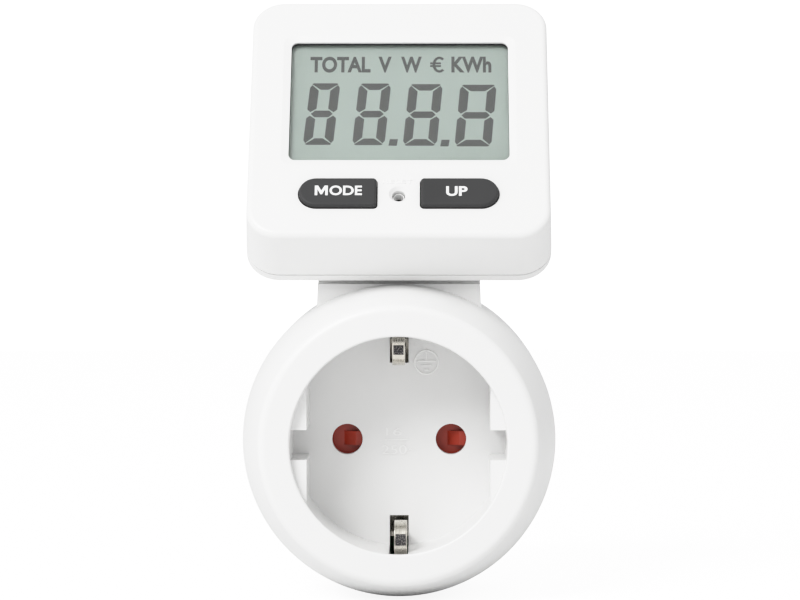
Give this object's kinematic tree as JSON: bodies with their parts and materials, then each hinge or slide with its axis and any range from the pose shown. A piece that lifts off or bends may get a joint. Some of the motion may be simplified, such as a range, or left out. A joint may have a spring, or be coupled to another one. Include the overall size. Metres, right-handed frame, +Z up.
{
  "type": "plug-in power meter",
  "caption": "Plug-through mains socket adapter with a square display head on a short tilting neck, keys under the display, a shuttered earthed recess in front and a plug behind.",
  "frame": {"origin": "centre of the plug's end face, where the pins leave it", "axes": "+Y along the pins into the wall, +Z up towards the display head, +X to the right of someone facing the socket"},
  "size_m": [0.0574, 0.0835, 0.1092],
  "materials": {
    "case_white": "moulded, satin gloss",
    "button_grey": "satin, printed legend",
    "frame_black": "moulded",
    "inner_plastic": "moulded, plain",
    "shutter_red": "moulded, satin",
    "nickel_pin": "nickel plated, polished",
    "nickel_strip": "nickel plated strip",
    "screw_steel": "zinc plated",
    "spring_steel": "drawn wire",
    "brass": "bright",
    "copper": "bright copper",
    "shunt_alloy": "dull manganin",
    "window_clear": "clear, polished",
    "lcd_glass": "satin polariser",
    "lcd_reflector": "satin foil",
    "contact_rubber": "elastomer",
    "board_green": "solder mask",
    "component_black": "moulded",
    "capacitor_yellow": "moulded box",
    "varistor_blue": "dipped epoxy",
    "resistor_grey": "cement coat",
    "ribbon_grey": "flat ribbon"
  },
  "bodies": {
    "root": {"front_shell": "case_white", "rear_shell": "case_white", "case_screws": "screw_steel", "hinge_pins": "screw_steel", "display_cable_case": "ribbon_grey", "earth_clip_top": "nickel_strip", "earth_clip_bottom": "nickel_strip", "earth_bridge": "nickel_strip", "plug_earth_strip_top": "nickel_strip", "plug_earth_strip_bottom": "nickel_strip", "earth_rivets": "brass", "plug_pin_left": "nickel_pin", "plug_pin_right": "nickel_pin", "shutter_guide": "inner_plastic", "shutter_spring": "spring_steel", "contact_carrier": "inner_plastic", "socket_contact_left": "brass", "socket_contact_right": "brass", "live_bus": "copper", "neutral_bus_front": "copper", "neutral_bus_rear": "copper", "current_shunt": "shunt_alloy", "power_board": "board_green", "film_capacitor": "capacitor_yellow", "electrolytic_capacitor": "component_black", "varistor": "varistor_blue", "fusible_resistor": "resistor_grey", "rectifier": "component_black", "metering_chip": "component_black"},
    "shutter": {"shutter": "shutter_red"},
    "head": {"head_front_shell": "case_white", "head_rear_shell": "case_white", "head_screws": "screw_steel", "display_window": "window_clear", "lcd_panel": "lcd_glass", "lcd_reflector": "lcd_reflector", "lcd_frame": "frame_black", "lcd_contact_strips": "contact_rubber", "head_board": "board_green", "controller_chip": "component_black", "clock_crystal": "nickel_strip", "backup_cell": "nickel_strip", "cell_holder": "frame_black", "display_cable_head": "ribbon_grey", "mode_switch": "component_black", "up_switch": "component_black", "reset_switch": "component_black"},
    "mode_key": {"mode_button": "button_grey", "mode_plunger": "inner_plastic"},
    "up_key": {"up_button": "button_grey", "up_plunger": "inner_plastic"},
    "reset_key": {"reset_plunger": "frame_black"}
  },
  "joints": [
    {"name": "head_tilt", "type": "hinge", "parent": "root", "child": "head", "pos_m": [0, -0.0505, 0.0355], "axis": [1, 0, 0], "range_deg": [0, 38]},
    {"name": "mode_press", "type": "slide", "parent": "head", "child": "mode_key", "axis": [0, 0.788, -0.6157], "range_m": [0, 0.0005], "stiffness_N_per_m": 600, "springref_m": -0.0008},
    {"name": "up_press", "type": "slide", "parent": "head", "child": "up_key", "axis": [0, 0.788, -0.6157], "range_m": [0, 0.0005], "stiffness_N_per_m": 600, "springref_m": -0.0008},
    {"name": "reset_press", "type": "slide", "parent": "head", "child": "reset_key", "axis": [0, 0.788, -0.6157], "range_m": [0, 0.0003], "stiffness_N_per_m": 400, "springref_m": -0.0005},
    {"name": "shutter_slide", "type": "slide", "parent": "root", "child": "shutter", "axis": [1, 0, 0], "range_m": [0, 0.0064], "stiffness_N_per_m": 60, "springref_m": -0.003, "deforming": ["shutter_spring"]}
  ]
}
